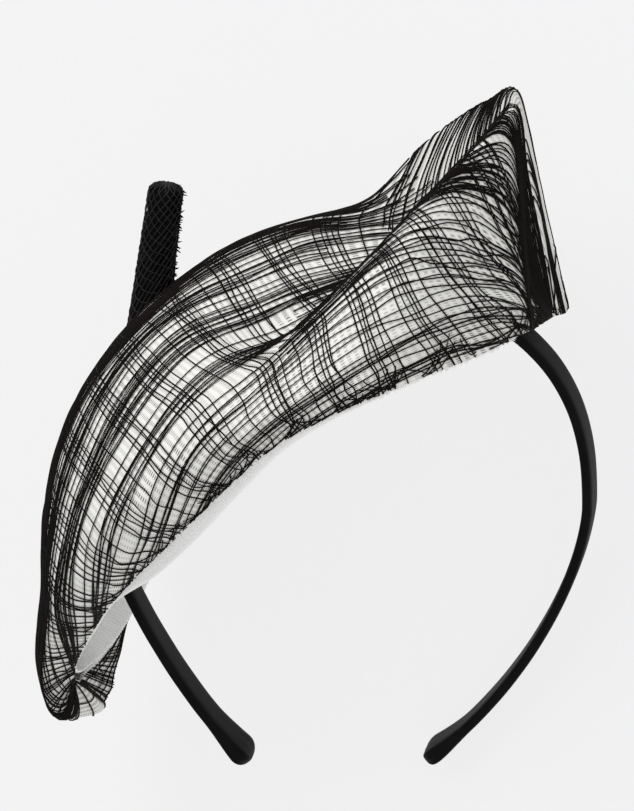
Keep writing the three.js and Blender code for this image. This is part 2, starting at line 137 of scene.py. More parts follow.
def section_at(u):
    """The table's row at each share u of the way from the slit end to the point."""
    last = len(SECTIONS) - 1
    place = np.clip(u, 0, 1) * last
    i = np.minimum(np.floor(place).astype(int), last - 1)
    t = (place - i)[:, None]
    first = 2 * SECTIONS[0] - SECTIONS[1]
    end = 2 * SECTIONS[-1] - SECTIONS[-2]
    table = np.vstack([first, SECTIONS, end])
    before, here, there, after = table[i], table[i + 1], table[i + 2], table[i + 3]
    slopes = (there - before) * t
    bend = (2 * before - 5 * here + 4 * there - after) * t ** 2
    turn = (3 * here - before - 3 * there + after) * t ** 3
    rows = 0.5 * (2 * here + slopes + bend + turn)
    return {name: rows[:, k] for k, name in enumerate(SECTION_COLUMNS)}


def hat_points(u, v):
    """Points of the outer skin: v goes from the near rim over the crown to the far rim."""
    u, v = np.broadcast_arrays(np.asarray(u, float), np.asarray(v, float))
    shape = u.shape
    u = u.ravel()
    v = v.ravel()
    row = section_at(u)
    deep = HALF_DEPTH / 100
    high = CROWN_HEIGHT / 100
    none = np.zeros_like(u)
    stations = [
        (-row["rim"] * deep, none, none),
        (-row["wideD"] * deep, row["wideH"] * high, none),
        (row["nearD"] * deep, row["nearH"] * high, none),
        (row["foldD"] * deep, row["foldH"] * high, none),
        (row["crownD"] * deep, row["crownH"] * high, none),
        (row["farD"] * deep, row["farH"] * high, none),
        (row["rollD"] * deep, row["rollH"] * high, row["rollLag"] * high),
        (row["backRim"] * deep, -row["backDrop"] * high, row["backLag"] * high),
    ]
    points = np.stack([np.stack(station, 1) for station in stations], 1)
    spans = np.diff(STATIONS)[None, :, None]
    grade = np.diff(points, axis=1) / spans
    slope = np.empty_like(points)
    slope[:, 0] = grade[:, 0]
    slope[:, -1] = grade[:, -1]
    behind = spans[:, :-1]
    ahead = spans[:, 1:]
    slope[:, 1:-1] = (grade[:, :-1] * ahead + grade[:, 1:] * behind) / (ahead + behind)
    i = np.clip(np.searchsorted(STATIONS, v) - 1, 0, len(STATIONS) - 2)
    width = np.diff(STATIONS)[i][:, None]
    t = (v[:, None] - STATIONS[i][:, None]) / width
    n = np.arange(len(u))
    start = points[n, i] * (2 * t ** 3 - 3 * t ** 2 + 1)
    end = points[n, i + 1] * (3 * t ** 2 - 2 * t ** 3)
    leave = slope[n, i] * width * (t ** 3 - 2 * t ** 2 + t)
    arrive = slope[n, i + 1] * width * (t ** 3 - t ** 2)
    depth, height, lag = (start + end + leave + arrive).T
    tilt = np.radians(row["tilt"])
    along = row["at"] * HAT_LENGTH / 100 + height * np.sin(tilt) + lag * np.cos(tilt)
    rise = row["rise"] * HAT_LENGTH / 100 + height * np.cos(tilt) - lag * np.sin(tilt)
    placed = along[:, None] * ALONG + depth[:, None] * BACK + rise[:, None] * RISE
    return placed.reshape(*shape, 3)


def unit(vectors):
    return vectors / np.maximum(np.linalg.norm(vectors, axis=-1, keepdims=True), 1e-9)


def hat_normals(u, v):
    """Outward way of the skin at each point."""
    step = 0.002
    u = np.clip(u, 0.012, 0.988)
    along = hat_points(np.minimum(u + step, 1), v) - hat_points(u - step, v)
    over = hat_points(u, np.clip(v + step, 0, 1)) - hat_points(u, np.clip(v - step, 0, 1))
    return unit(np.cross(along, over))


def mesh_object(name, points, faces, world=True):
    """A mesh that rides on the part; points in mm in the shaping frame."""
    mesh = bpy.data.meshes.new(name)
    placed = to_world(points) if world else np.asarray(points)
    faces = np.asarray(faces)
    sides = faces.shape[1]
    mesh.vertices.add(len(placed))
    mesh.vertices.foreach_set("co", placed.astype(np.float32).ravel())
    mesh.loops.add(faces.size)
    mesh.loops.foreach_set("vertex_index", faces.astype(np.int32).ravel())
    mesh.polygons.add(len(faces))
    mesh.polygons.foreach_set("loop_start", np.arange(0, faces.size, sides, dtype=np.int32))
    mesh.polygons.foreach_set("use_smooth", np.ones(len(faces), dtype=bool))
    mesh.update(calc_edges=True)
    made = bpy.data.objects.new(name, mesh)
    bpy.context.scene.collection.objects.link(made)
    return made


def settle(piece, material, slot, *nodes):
    piece.data.materials.append(material)
    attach(piece, "root")
    if nodes:
        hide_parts(*nodes)
    return piece


# Materials
def new_material(name):
    material = bpy.data.materials.new(name)
    material.use_nodes = True
    tree = material.node_tree
    shader = tree.nodes["Principled BSDF"]
    return material, tree, shader


def node(tree, kind, **values):
    made = tree.nodes.new(kind)
    for key, value in values.items():
        setattr(made, key, value)
    return made


def math_node(tree, operation, first, second=None):
    made = node(tree, "ShaderNodeMath", operation=operation)
    for socket, value in zip(made.inputs, (first, second)):
        if value is None:
            continue
        if isinstance(value, (int, float)):
            socket.default_value = value
        else:
            tree.links.new(value, socket)
    return made.outputs[0]


def mix_color(tree, factor, first, second):
    made = node(tree, "ShaderNodeMix", data_type="RGBA")
    if isinstance(factor, (int, float)):
        made.inputs[0].default_value = factor
    else:
        tree.links.new(factor, made.inputs[0])
    for socket, value in ((made.inputs[6], first), (made.inputs[7], second)):
        if isinstance(value, tuple):
            socket.default_value = (*value, 1)
        else:
            tree.links.new(value, socket)
    return made.outputs[2]


def noise(tree, coordinate, scale, detail=3.0):
    made = node(tree, "ShaderNodeTexNoise")
    made.inputs["Scale"].default_value = scale
    made.inputs["Detail"].default_value = detail
    tree.links.new(coordinate, made.inputs["Vector"])
    return made.outputs["Fac"]


def bump(tree, height, strength, distance):
    made = node(tree, "ShaderNodeBump")
    made.inputs["Strength"].default_value = strength
    made.inputs["Distance"].default_value = distance
    tree.links.new(height, made.inputs["Height"])
    return made.outputs["Normal"]


def ramp(tree, value, low, high):
    made = node(tree, "ShaderNodeMapRange")
    made.inputs["From Min"].default_value = low
    made.inputs["From Max"].default_value = high
    tree.links.new(value, made.inputs["Value"])
    return made.outputs["Result"]


def straw_material():
    """Open woven straw: pale strands both ways with small gaps between them, seen along the cloth."""
    material, tree, shader = new_material("straw")
    uv = node(tree, "ShaderNodeUVMap", uv_map="cloth").outputs["UV"]
    place = node(tree, "ShaderNodeTexCoord").outputs["Object"]
    split = node(tree, "ShaderNodeSeparateXYZ")
    tree.links.new(uv, split.inputs[0])
    wave = noise(tree, place, 220, 2)
    drift = math_node(tree, "MULTIPLY", wave, 0.4)
    waves = []
    for axis, pitch in enumerate(STRAW_PITCH):
        moved = math_node(tree, "ADD", split.outputs[axis], drift)
        angle = math_node(tree, "MULTIPLY", moved, math.pi / pitch)
        waves.append(math_node(tree, "ABSOLUTE", math_node(tree, "SINE", angle)))
    strand = math_node(tree, "MAXIMUM", waves[0], waves[1])
    gap = math_node(tree, "SUBTRACT", 1.0, ramp(tree, strand, 0.5, 0.85))
    hole_shade_patch = ramp(tree, noise(tree, place, 45, 2), 0.46, 0.62)
    painted_hole_shade = math_node(tree, "MULTIPLY", gap, hole_shade_patch)
    tone = mix_color(tree, noise(tree, place, 60, 3), (0.72, 0.715, 0.68), (0.86, 0.855, 0.83))
    # Painted shade: the gaps between the strands are darkened towards grey, and where the patch noise is
    # high they are painted near black, as the shade of the dark inside seen through open holes.
    shaded = mix_color(tree, math_node(tree, "MULTIPLY", gap, 0.7), tone, (0.42, 0.41, 0.38))
    color = mix_color(tree, math_node(tree, "MULTIPLY", painted_hole_shade, 0.75), shaded, (0.07, 0.065, 0.06))
    tree.links.new(color, shader.inputs["Base Color"])
    tree.links.new(bump(tree, strand, 0.5, 0.0002), shader.inputs["Normal"])
    shader.inputs["Roughness"].default_value = 0.72
    shader.inputs["Sheen Weight"].default_value = 0.2
    return material


def thread_material():
    material, tree, shader = new_material("thread")
    place = node(tree, "ShaderNodeTexCoord").outputs["Object"]
    color = mix_color(tree, noise(tree, place, 900, 2), (0.0035, 0.003, 0.003), (0.012, 0.009, 0.008))
    tree.links.new(color, shader.inputs["Base Color"])
    tree.links.new(bump(tree, noise(tree, place, 4000, 2), 0.4, 0.0001), shader.inputs["Normal"])
    shader.inputs["Roughness"].default_value = 0.5
    shader.inputs["Specular IOR Level"].default_value = 0.03
    return material


def grosgrain_material():
    material, tree, shader = new_material("grosgrain")
    place = node(tree, "ShaderNodeTexCoord").outputs["Object"]
    color = mix_color(tree, noise(tree, place, 700, 3), (0.9, 0.905, 0.9), (0.96, 0.96, 0.955))
    tree.links.new(color, shader.inputs["Base Color"])
    tree.links.new(bump(tree, noise(tree, place, 3500, 3), 0.35, 0.0002), shader.inputs["Normal"])
    shader.inputs["Roughness"].default_value = 0.7
    shader.inputs["Sheen Weight"].default_value = 0.3
    return material


def satin_material():
    material, tree, shader = new_material("satin")
    uv = node(tree, "ShaderNodeUVMap", uv_map="cloth").outputs["UV"]
    place = node(tree, "ShaderNodeTexCoord").outputs["Object"]
    color = mix_color(tree, noise(tree, place, 120, 3), (0.0025, 0.0025, 0.003), (0.007, 0.007, 0.008))
    tree.links.new(color, shader.inputs["Base Color"])
    split = node(tree, "ShaderNodeSeparateXYZ")
    tree.links.new(uv, split.inputs[0])
    twill = math_node(tree, "ADD", split.outputs[0], math_node(tree, "MULTIPLY", split.outputs[1], 0.7))
    weave = math_node(tree, "SINE", math_node(tree, "MULTIPLY", twill, 2 * math.pi / 0.32))
    slack = math_node(tree, "MULTIPLY", noise(tree, place, 90, 3), 6.0)
    height = math_node(tree, "ADD", math_node(tree, "MULTIPLY", weave, 0.5), slack)
    tree.links.new(bump(tree, height, 0.25, 0.0003), shader.inputs["Normal"])
    shader.inputs["Roughness"].default_value = 0.5
    shader.inputs["Specular IOR Level"].default_value = 0.045
    return material


def net_material(name, dark, light, gloss):
    material, tree, shader = new_material(name)
    place = node(tree, "ShaderNodeTexCoord").outputs["Object"]
    color = mix_color(tree, noise(tree, place, 600, 3), (dark, dark, dark), (light, light, light))
    tree.links.new(color, shader.inputs["Base Color"])
    tree.links.new(bump(tree, noise(tree, place, 1800, 3), 0.6, 0.0004), shader.inputs["Normal"])
    shader.inputs["Roughness"].default_value = 0.45
    shader.inputs["Specular IOR Level"].default_value = gloss
    return material


# Where the threads run. Lengths over the crown are measured in mm at the middle of the hat.
over_steps = np.linspace(0, 1, 1001)
middle = hat_points(np.full_like(over_steps, 0.4375), over_steps)
over_length = np.concatenate([[0], np.cumsum(np.linalg.norm(np.diff(middle, axis=0), axis=1))])
OVER_END = over_length[-1]


def over_share(length):
    """v at a length over the crown; past either rim it stays beyond 0 or 1."""
    v = np.interp(length, over_length, over_steps)
    v = np.where(length < 0, length / OVER_END, v)
    return np.where(length > OVER_END, 1 + (length - OVER_END) / OVER_END, v)


# Lines along the hat: each row is a line, named by where it crosses the middle, and its length
# over the crown at each share of the way along. Below 0 it has run off the near rim.
ALONG_STOPS = np.array([0, 0.1, 0.2, 0.3, 0.4, 0.5, 0.56, 0.62, 0.7, 0.8, 0.9, 1])
ALONG_LINES = {
    -20: [-92, -80, -66, -52, -36, -20, -14, -10, -6, -4, -3, -2],
    2: [-70, -58, -44, -30, -14, 2, 4.5, 6.5, 6.7, 5, 1.2, -1],
    18: [-52, -40, -27, -12, 3, 18, 19.6, 20.4, 18.5, 12.5, 4.5, 0.5],
    28: [-40, -29, -17, -2, 14, 28, 33, 33, 29, 20, 9, 4],
    46: [-20, -12, -2, 9, 28, 46, 66, 68, 58, 34, 20, 12],
    69: [0, 1, 6, 28, 46, 69, 80, 82, 80, 58, 32, 16],
    83: [15, 22, 34, 48, 63.5, 83, 92, 99, 102, 96, 70, 30],
    100: [35, 45, 56, 68, 84, 100, 108, 114, 120, 120, 112, 100],
    130: [80, 88, 97, 106, 118, 130, 136, 140, 145, 148, 146, 140],
    160: [130, 140, 148, 154, 158, 160, 162, 164, 167, 170, 168, 165],
    195: [215, 210, 206, 202, 198, 195, 195, 195, 195, 195, 195, 195],
}

# Shares of the way along the hat between which the lengthwise threads run
THREADS_FROM = 0.004
THREADS_TO = 0.996

# Of the lengthwise lines past this one, this share stops where the fin begins
FADING_FROM = 66
FADING_SHARE = 0.78
FADING_ENDS = (0.6, 0.72)

# Share of the lengthwise threads that start a little way in from the slit end, and where
LATE_SHARE = 0.35
LATE_STARTS = (0.05, 0.13)

# Lengthwise bundles: from line, to line, and how many threads. Pale stripes lie between them.
ALONG_BUNDLES = (
    (-18, -12, 4), (-8, -3, 5), (1, 7, 6), (9, 13, 3), (15.5, 21.5, 6), (24, 25, 1), (30.5, 39, 8),
    (43, 44, 1), (50.5, 66, 13), (69, 70, 1), (72, 81.5, 9), (83.5, 84, 1), (86, 99, 12), (103, 112, 5),
    (116, 117, 1), (121, 129, 4), (131, 132, 1), (138, 147, 4), (150, 151, 1), (158, 167, 7),
    (172, 173, 1), (180, 189, 6),
)

# Bundles that start at the pinch, and its share of the way along the hat
PINCH_AT = 0.575
FIN_BUNDLES = (
    (19.2, 20.4, 2), (22.4, 23.6, 3), (25.4, 27.6, 3), (29, 31, 3), (32.4, 34.6, 5), (36, 38.5, 4),
    (39.5, 42, 4), (44.5, 47, 3), (51, 54, 2),
)

# Bundles over the hat: from line, to line, and how many threads
ACROSS_BUNDLES = (
    (0.03, 0.06, 2), (0.085, 0.11, 3), (0.135, 0.165, 6), (0.19, 0.22, 6), (0.245, 0.27, 5),
    (0.29, 0.32, 6), (0.345, 0.37, 6), (0.4, 0.422, 6), (0.452, 0.47, 5), (0.493, 0.513, 6),
    (0.549, 0.571, 6), (0.6, 0.62, 6), (0.643, 0.662, 6), (0.679, 0.694, 5), (0.722, 0.742, 6),
    (0.765, 0.78, 4), (0.8, 0.84, 8), (0.872, 0.874, 1), (0.925, 0.955, 6), (0.978, 0.982, 2),
)

# Single threads over the hat, each somewhere between two lines
ACROSS_SINGLES = (
    (0.07, 0.075, 1), (0.178, 0.18, 1), (0.28, 0.283, 1), (0.335, 0.338, 1), (0.382, 0.386, 1),
    (0.435, 0.437, 1), (0.53, 0.533, 1), (0.586, 0.588, 1), (0.705, 0.707, 1),
)

# Bundles on the far panel of the fin, and the lengths over the crown between which their threads
# start and end
BACK_STARTS = (96, 106)
BACK_ENDS = (150, 170)
BACK_BUNDLES = (
    (0.716, 0.724, 4), (0.735, 0.755, 5), (0.78, 0.79, 3), (0.82, 0.84, 4), (0.848, 0.862, 4),
    (0.87, 0.88, 2),
)

# Threads that bend at the rims beside each bundle: how many between these two shares of the way
# along and how many elsewhere, their reach as a share of the hat, and their height in mm
TANGLE_BUSY = (0.3, 0.93)
TANGLE_COUNTS = (6, 2)
TANGLE_REACH = (0.012, 0.04)
TANGLE_HEIGHT = (1.2, 5.5)

# Frayed ends of straw at the near rim: how many, between which shares of the way along, their
# length and their radius from root to tip, in mm
FRINGE_COUNT = 520
FRINGE_SPAN = (0.5, 0.86)
FRINGE_REACH = (0.6, 1.5)
FRINGE_RADII = np.array([0.12, 0.12, 0.1, 0.06])

# Lines over the hat: each row is a line, named by its share along the hat at 30 mm over the crown,
# and its share at each length over the crown
ACROSS_STOPS = np.array([0, 10, 30, 50, 66, 85, 100, 115, 140, 194])
ACROSS_LINES = {
    0: [0, 0, 0, 0, 0, 0, 0, 0, 0, 0],
    0.1: [0.11, 0.105, 0.1, 0.1, 0.1, 0.1, 0.1, 0.1, 0.1, 0.1],
    0.25: [0.265, 0.258, 0.25, 0.245, 0.242, 0.24, 0.238, 0.237, 0.235, 0.23],
    0.36: [0.378, 0.37, 0.36, 0.345, 0.338, 0.33, 0.325, 0.32, 0.315, 0.31],
    0.5: [0.53, 0.52, 0.5, 0.475, 0.457, 0.437, 0.42, 0.41, 0.4, 0.39],
    0.56: [0.598, 0.588, 0.56, 0.528, 0.507, 0.483, 0.468, 0.458, 0.451, 0.438],
    0.61: [0.65, 0.638, 0.61, 0.566, 0.546, 0.524, 0.507, 0.5, 0.497, 0.48],
    0.652: [0.696, 0.687, 0.652, 0.628, 0.602, 0.563, 0.545, 0.535, 0.538, 0.52],
    0.695: [0.785, 0.752, 0.695, 0.675, 0.655, 0.62, 0.605, 0.6, 0.62, 0.61],
    0.75: [0.885, 0.825, 0.75, 0.735, 0.725, 0.715, 0.71, 0.72, 0.77, 0.78],
    0.8: [0.938, 0.868, 0.8, 0.785, 0.775, 0.77, 0.768, 0.775, 0.82, 0.83],
    0.9: [0.95, 0.943, 0.9, 0.89, 0.885, 0.88, 0.88, 0.885, 0.9, 0.9],
    1: [1, 1, 1, 1, 1, 1, 1, 1, 1, 1],
}


def smooth_line(stops, values, at):
    """Smooth curve through a line's values at its stops."""
    values = np.asarray(values, float)
    spans = np.diff(stops)
    grade = np.diff(values) / spans
    slope = np.empty_like(values)
    slope[0] = grade[0]
    slope[-1] = grade[-1]
    slope[1:-1] = (grade[:-1] * spans[1:] + grade[1:] * spans[:-1]) / (spans[1:] + spans[:-1])
    i = np.clip(np.searchsorted(stops, at) - 1, 0, len(stops) - 2)
    t = (at - stops[i]) / spans[i]
    start = values[i] * (2 * t ** 3 - 3 * t ** 2 + 1) + slope[i] * spans[i] * (t ** 3 - 2 * t ** 2 + t)
    return start + values[i + 1] * (3 * t ** 2 - 2 * t ** 3) + slope[i + 1] * spans[i] * (t ** 3 - t ** 2)


def line_between(lines, stops, name, at):
    """The line of that name: a blend of the two rows on either side of it."""
    names = sorted(lines)
    k = min(max(int(np.searchsorted(names, name)) - 1, 0), len(names) - 2)
    share = (name - names[k]) / (names[k + 1] - names[k])
    low = smooth_line(stops, lines[names[k]], at)
    high = smooth_line(stops, lines[names[k + 1]], at)
    return low * (1 - share) + high * share


def wander(rng, count, reach, knots):
    """A slow random drift along a thread."""
    values = rng.normal(0, reach, knots + 3)
    at = np.linspace(0, knots, count)
    i = np.minimum(at.astype(int), knots - 1)
    t = at - i
    blend = t * t * (3 - 2 * t)
    return values[i] * (1 - blend) + values[i + 1] * blend


def ring_faces(rings, sides):
    """Quads between neighbouring rings of points."""
    i = np.arange(rings - 1)[:, None] * sides
    k = np.arange(sides)[None, :]
    after = (k + 1) % sides
    return np.stack([i + k, i + after, i + sides + after, i + sides + k], -1).reshape(-1, 4)


def tubes(name, runs, sides):
    """One mesh of thin round strands. Each run is (points, outward ways, radius)."""
    all_points = []
    all_faces = []
    shift = 0
    angles = np.arange(sides) * 2 * math.pi / sides
    for points, outward, radius in runs:
        count = len(points)
        if count < 3:
            continue
        tangent = unit(np.gradient(points, axis=0))
        side = unit(np.cross(tangent, outward))
        lift = unit(np.cross(side, tangent))
        radii = np.broadcast_to(np.asarray(radius, float), (count,))[:, None, None]
        ring = np.cos(angles)[None, :, None] * side[:, None] + np.sin(angles)[None, :, None] * lift[:, None]
        all_points.append((points[:, None] + ring * radii).reshape(-1, 3))
        all_faces.append(ring_faces(count, sides) + shift)
        ends = shift + (count - 1) * sides
        if sides == 4:
            all_faces.append(np.array([[shift + 3, shift + 2, shift + 1, shift]]))
            all_faces.append(np.array([[ends, ends + 1, ends + 2, ends + 3]]))
        shift += count * sides
    return mesh_object(name, np.vstack(all_points), np.vstack(all_faces))


def resample(u, v, step):
    """Points and outward ways evenly spaced along a path over the hat, kept between the rims."""
    inside = (v >= 0) & (v <= 1) & (u >= 0) & (u <= 1)
    if inside.sum() < 4:
        return []
    marks = np.flatnonzero(np.diff(np.concatenate([[0], inside.astype(int), [0]])))
    runs = []
    for start, stop in marks.reshape(-1, 2):
        if stop - start < 4:
            continue
        uu = u[start:stop]
        vv = v[start:stop]
        points = hat_points(uu, vv)
        length = np.concatenate([[0], np.cumsum(np.linalg.norm(np.diff(points, axis=0), axis=1))])
        if length[-1] < 4:
            continue
        at = np.linspace(0, length[-1], max(int(length[-1] / step), 5))
        runs.append((np.interp(at, length, uu), np.interp(at, length, vv)))
    return runs


def raised(rng, u, v, height):
    """A thread's middle line, lying on the straw at a height that drifts a little."""
    outward = hat_normals(u, v)
    drift = wander(rng, len(u), 0.07, max(len(u) // 5, 2))
    points = hat_points(u, v) + outward * (height + np.abs(drift))[:, None]
    return points, outward


def lay(rng, runs, u, v, height, thickness, step=THREAD_STEP):
    """Adds one thread to the runs, broken where it leaves the straw."""
    for part_u, part_v in resample(u, v, step):
        points, outward = raised(rng, part_u, part_v, height)
        runs.append((points, outward, THREAD_RADIUS * rng.uniform(*thickness)))


def bundle_names(bundles):
    """The lines that the threads of the bundles follow, spaced a little unevenly."""
    rng = np.random.default_rng(SEED)
    names = []
    for low, high, count in bundles:
        even = np.linspace(low, high, count) if count > 1 else np.array([(low + high) / 2])
        spacing = (high - low) / max(count - 1, 1)
        names.extend(even + rng.normal(0, 0.22 * spacing, count))
    return names


def threads_along():
    rng = np.random.default_rng(SEED + 1)
    runs = []
    for name in bundle_names(ALONG_BUNDLES):
        fades = rng.uniform() < FADING_SHARE and name > FADING_FROM
        starts_late = rng.uniform() < LATE_SHARE
        first = rng.uniform(*LATE_STARTS) if starts_late else THREADS_FROM
        last = rng.uniform(*FADING_ENDS) if fades else THREADS_TO
        u = np.linspace(first, last, 500)
        length = line_between(ALONG_LINES, ALONG_STOPS, name, u)
        length = length + wander(rng, len(u), 0.35, 22) + wander(rng, len(u), 0.3, 8)
        lay(rng, runs, u, over_share(length), ALONG_LIFT, (0.8, 1.15))
    return runs


def fin_threads():
    """Threads that come out of the pinch at the foot of the fold and run on over the fin."""
    rng = np.random.default_rng(SEED + 7)
    runs = []
    for low, high, count in FIN_BUNDLES:
        for name in np.linspace(low, high, count) + rng.normal(0, 0.12, count):
            u = np.linspace(PINCH_AT + rng.uniform(0, 0.02), 0.992, 260)
            length = line_between(ALONG_LINES, ALONG_STOPS, name, u) + wander(rng, len(u), 0.3, 14)
            lay(rng, runs, u, over_share(length), ALONG_LIFT, (0.8, 1.15))
    return runs


def threads_across():
    rng = np.random.default_rng(SEED + 2)
    runs = []
    length = np.linspace(0, OVER_END, 500)
    v = over_share(length)
    near_rim = np.exp(-length / 14)
    for name in bundle_names(ACROSS_BUNDLES + ACROSS_SINGLES):
        u = line_between(ACROSS_LINES, ACROSS_STOPS, name, length)
        u = u + wander(rng, len(u), 0.0009, 16) + wander(rng, len(u), 0.003, 40) * near_rim
        lay(rng, runs, u, v, ACROSS_LIFT, (0.8, 1.1))
    return runs


def back_streaks():
    """Dense threads on the far panel of the fin, from the valley over its back edge."""
    rng = np.random.default_rng(SEED + 3)
    runs = []
    length = np.linspace(BACK_STARTS[0], BACK_ENDS[1], 200)
    v = over_share(length)
    for low, high, count in BACK_BUNDLES:
        for name in np.linspace(low, high, count) + rng.normal(0, 0.001, count):
            u = line_between(ACROSS_LINES, ACROSS_STOPS, name, length) + wander(rng, len(v), 0.0015, 8)
            start = rng.uniform(*BACK_STARTS)
            end = rng.uniform(*BACK_ENDS)
            keep = (length > start) & (length < end)
            lay(rng, runs, u[keep], v[keep], ACROSS_LIFT, (0.8, 1.1))
    return runs


def rim_tangle():
    """Threads that bend at the rims and run on beside them, in a knot at each bundle."""
    rng = np.random.default_rng(SEED + 4)
    runs = []
    for low, high, _ in ACROSS_BUNDLES:
        for far in (False, True):
            name = (low + high) / 2
            at_rim = OVER_END if far else 1.0
            foot = line_between(ACROSS_LINES, ACROSS_STOPS, name, np.array([at_rim]))[0]
            busy = TANGLE_BUSY[0] < foot < TANGLE_BUSY[1]
            for _ in range(TANGLE_COUNTS[0] if busy else TANGLE_COUNTS[1]):
                way = rng.choice((-1, 1))
                share = np.linspace(0, 1, 40)
                reach = rng.uniform(*TANGLE_REACH)
                u = foot + rng.normal(0, 0.013) + way * reach * share ** 1.3
                height = rng.uniform(*TANGLE_HEIGHT)
                length = 0.3 + height * (1 - share) ** 1.5 + wander(rng, 40, 0.2, 3)
                length = np.clip(length, 0.15, None)
                v = over_share(OVER_END - length if far else length)
                lay(rng, runs, np.clip(u, 0, 1), v, TANGLE_LIFT, (0.75, 1.0), step=0.8)
    return runs


def straw_fringe():
    """Short frayed ends of straw along the near rim."""
    rng = np.random.default_rng(SEED + 8)
    runs = []
    steps = np.linspace(0, 1, 4)
    for start in rng.uniform(*FRINGE_SPAN, FRINGE_COUNT):
        at = np.array([start])
        rim = hat_points(at, np.array([0.0]))[0]
        above = hat_points(at, np.array([0.02]))[0]
        beside = hat_points(at + 0.01, np.array([0.0]))[0]
        down = unit(rim - above)
        side = unit(beside - rim)
        outward = hat_normals(at, np.array([0.004]))[0]
        way = unit(down + side * rng.normal(0, 0.5) + outward * rng.normal(0, 0.25))
        curl = side * rng.normal(0, 0.35)
        reach = rng.uniform(*FRINGE_REACH)
        root = rim - outward * rng.uniform(0, SHELL_WALL) - down * 0.3
        points = root + way * (reach * steps)[:, None] + curl * (steps ** 2)[:, None]
        runs.append((points, np.tile(outward, (4, 1)), FRINGE_RADII))
    return runs


def lines_at(lines, stops, at):
    """Every row of the lines at the given places, and the rows' names."""
    names = sorted(lines)
    return np.array([line_between(lines, stops, name, at) for name in names]), np.array(names, float)


def straw_shell(material):
    """The hat's shell, finer than its solid, with the cloth's own directions in its UV map."""
    rows = SHELL_ROWS
    across = SHELL_COLUMNS
    u = np.arange(rows + 1) / rows
    v = np.arange(across + 1) / across
    skin = hat_points(u[:, None], v[None, :])
    along = np.gradient(skin, axis=0)
    over = np.gradient(skin, axis=1)
    normals = unit(np.cross(along, over))
    normals[0] = normals[1]
    normals[-1] = normals[-2]
    inner = skin - normals * SHELL_WALL
    outer_points = skin.reshape(-1, 3)
    inner_points = inner.reshape(-1, 3)
    count = len(outer_points)
    i = np.arange(rows)[:, None] * (across + 1)
    j = np.arange(across)[None, :]
    corner = (i + j).ravel()
    outer = np.stack([corner, corner + across + 1, corner + across + 2, corner + 1], 1)
    inside = outer[:, ::-1] + count
    edges = []
    for start, turn in ((0, 1), (across, -1)):
        a = np.arange(rows) * (across + 1) + start
        b = a + across + 1
        edge = np.stack([a, a + count, b + count, b], 1)
        edges.append(edge[:, ::turn])
    faces = np.vstack([outer, inside, *edges])
    shell = mesh_object("straw_shell", np.vstack([outer_points, inner_points]), faces)
    lengths, names = lines_at(ALONG_LINES, ALONG_STOPS, u)
    over_mm = np.interp(v, over_steps, over_length)
    cloth_over = np.array([np.interp(over_mm, lengths[:, k], names) for k in range(rows + 1)])
    shares, share_names = lines_at(ACROSS_LINES, ACROSS_STOPS, over_mm)
    cloth_along = np.array([np.interp(u, shares[:, k], share_names) for k in range(across + 1)]).T
    cloth = np.stack([cloth_over, cloth_along * CLOTH_LENGTH], -1).reshape(-1, 2)
    cloth = np.vstack([cloth, cloth])
    layer = shell.data.uv_layers.new(name="cloth")
    layer.data.foreach_set("uv", cloth[faces.ravel()].astype(np.float32).ravel())
    return settle(shell, material, "straw", "hat")


# Head ribbon
RIBBON_WIDTH = 10.0
RIBBON_GAP = 0.4
RIBBON_EDGE = 0.3
RIBBON_LEAN = 0.05
RIBBON_FROM = 0.14
RIBBON_TO = 0.86
RIB_PITCH = 0.95
RIB_HEIGHT = 0.14
RIB_SCALLOP = 0.18


def ribbon_side(u, far):
    """Foot, inward way, up way, and how far the ribbon goes below and above, at each share u."""
    row = section_at(u)
    edge = np.full_like(u, 1.0 if far else 0.0)
    rim = hat_points(u, edge)
    other = hat_points(u, 1 - edge)
    run = unit(hat_points(u + 0.004, edge) - hat_points(u - 0.004, edge))
    tilt = np.radians(row["tilt"])[:, None]
    up = ALONG * np.sin(tilt) + RISE * np.cos(tilt)
    inward = other - rim
    inward = inward - run * (inward * run).sum(1, keepdims=True)
    inward = unit(inward - up * (inward * up).sum(1, keepdims=True))
    up = unit(up - run * (up * run).sum(1, keepdims=True))
    wall = hat_points(u, np.full_like(u, STATIONS[6] if far else STATIONS[1])) - rim
    lean = np.maximum(0, (wall * inward).sum(1) / np.maximum((wall * up).sum(1), 1)) + RIBBON_LEAN
    up = unit(up + inward * lean[:, None])
    shows = row["ribbon"] * RIBBON_WIDTH / 100
    below = np.full_like(u, RIBBON_EDGE) if far else np.maximum(shows, RIBBON_EDGE)
    ends = np.minimum(0.5 + (u - RIBBON_FROM) * 8, 0.5 + (RIBBON_TO - u) * 8)
    above = (RIBBON_WIDTH - below) * np.minimum(1, ends)
    foot = rim + inward * (SHELL_WALL + RIBBON_GAP)
    return foot, inward, up, below, above


